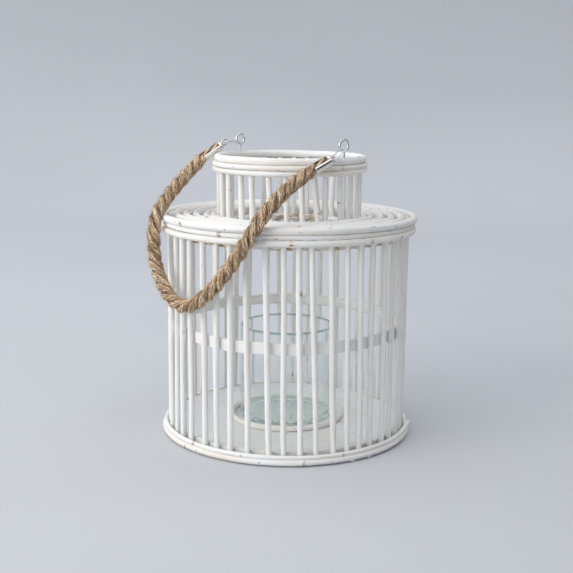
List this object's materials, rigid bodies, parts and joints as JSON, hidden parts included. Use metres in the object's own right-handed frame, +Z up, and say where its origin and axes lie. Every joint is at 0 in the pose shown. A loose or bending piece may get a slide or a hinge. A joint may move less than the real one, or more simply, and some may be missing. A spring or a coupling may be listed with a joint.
{
  "type": "candle lantern",
  "caption": "Round cane candle lantern with a stepped neck, a loose glass cylinder inside and a swinging rope handle on screw eyes.",
  "frame": {"origin": "on the ground plane, under the centre of the round base", "axes": "+Z up through the neck; X runs through the two screw eyes that carry the handle; the handle hangs down on the -Y side at rest"},
  "size_m": [0.2506, 0.2632, 0.2925],
  "materials": {
    "white_cane": "thin matt white paint over cane, worn at the joints",
    "white_board": "thin matt white paint over plywood",
    "bare_cane": "patchy white paint over bare cane",
    "brad_steel": "dull steel heads",
    "clear_glass": "clear glass with a faint green edge",
    "bright_wire": "bright plated wire",
    "ferrule_metal": "polished plated metal",
    "jute": "hairy twisted jute"
  },
  "bodies": {
    "lantern": {"base_board": "white_board", "base_hoop_lower": "white_cane", "base_hoop_upper": "white_cane", "seat_ring": "white_cane", "body_canes": "white_cane", "mid_band": "white_cane", "rim_hoop_top": "white_cane", "rim_hoop_middle": "white_cane", "rim_hoop_bottom": "white_cane", "frame_hoop": "bare_cane", "shoulder_spokes": "white_cane", "shoulder_hoop_1": "white_cane", "shoulder_hoop_2": "white_cane", "shoulder_hoop_3": "white_cane", "shoulder_hoop_4": "white_cane", "neck_foot_hoop": "white_cane", "neck_canes": "white_cane", "neck_inner_hoops": "bare_cane", "neck_rim_hoop": "white_cane", "neck_hoop_upper": "white_cane", "neck_hoop_lower": "white_cane", "rim_brads": "brad_steel", "base_brads": "brad_steel", "neck_brads": "brad_steel", "shoulder_brads": "brad_steel", "screw_eye_left": "bright_wire", "screw_eye_right": "bright_wire"},
    "handle": {"link_left": "bright_wire", "link_right": "bright_wire", "ferrule_left": "ferrule_metal", "ferrule_right": "ferrule_metal", "handle_rope": "jute"},
    "glass": {"glass_cylinder": "clear_glass"}
  },
  "joints": [
    {"name": "handle_swing", "type": "hinge", "parent": "lantern", "child": "handle", "pos_m": [0, 0, 0.2835], "axis": [-1, 0, 0], "range_deg": [0, 190]},
    {"name": "glass_lift", "type": "slide", "parent": "lantern", "child": "glass", "axis": [0, 0, 1], "range_m": [0, 0.29]}
  ]
}
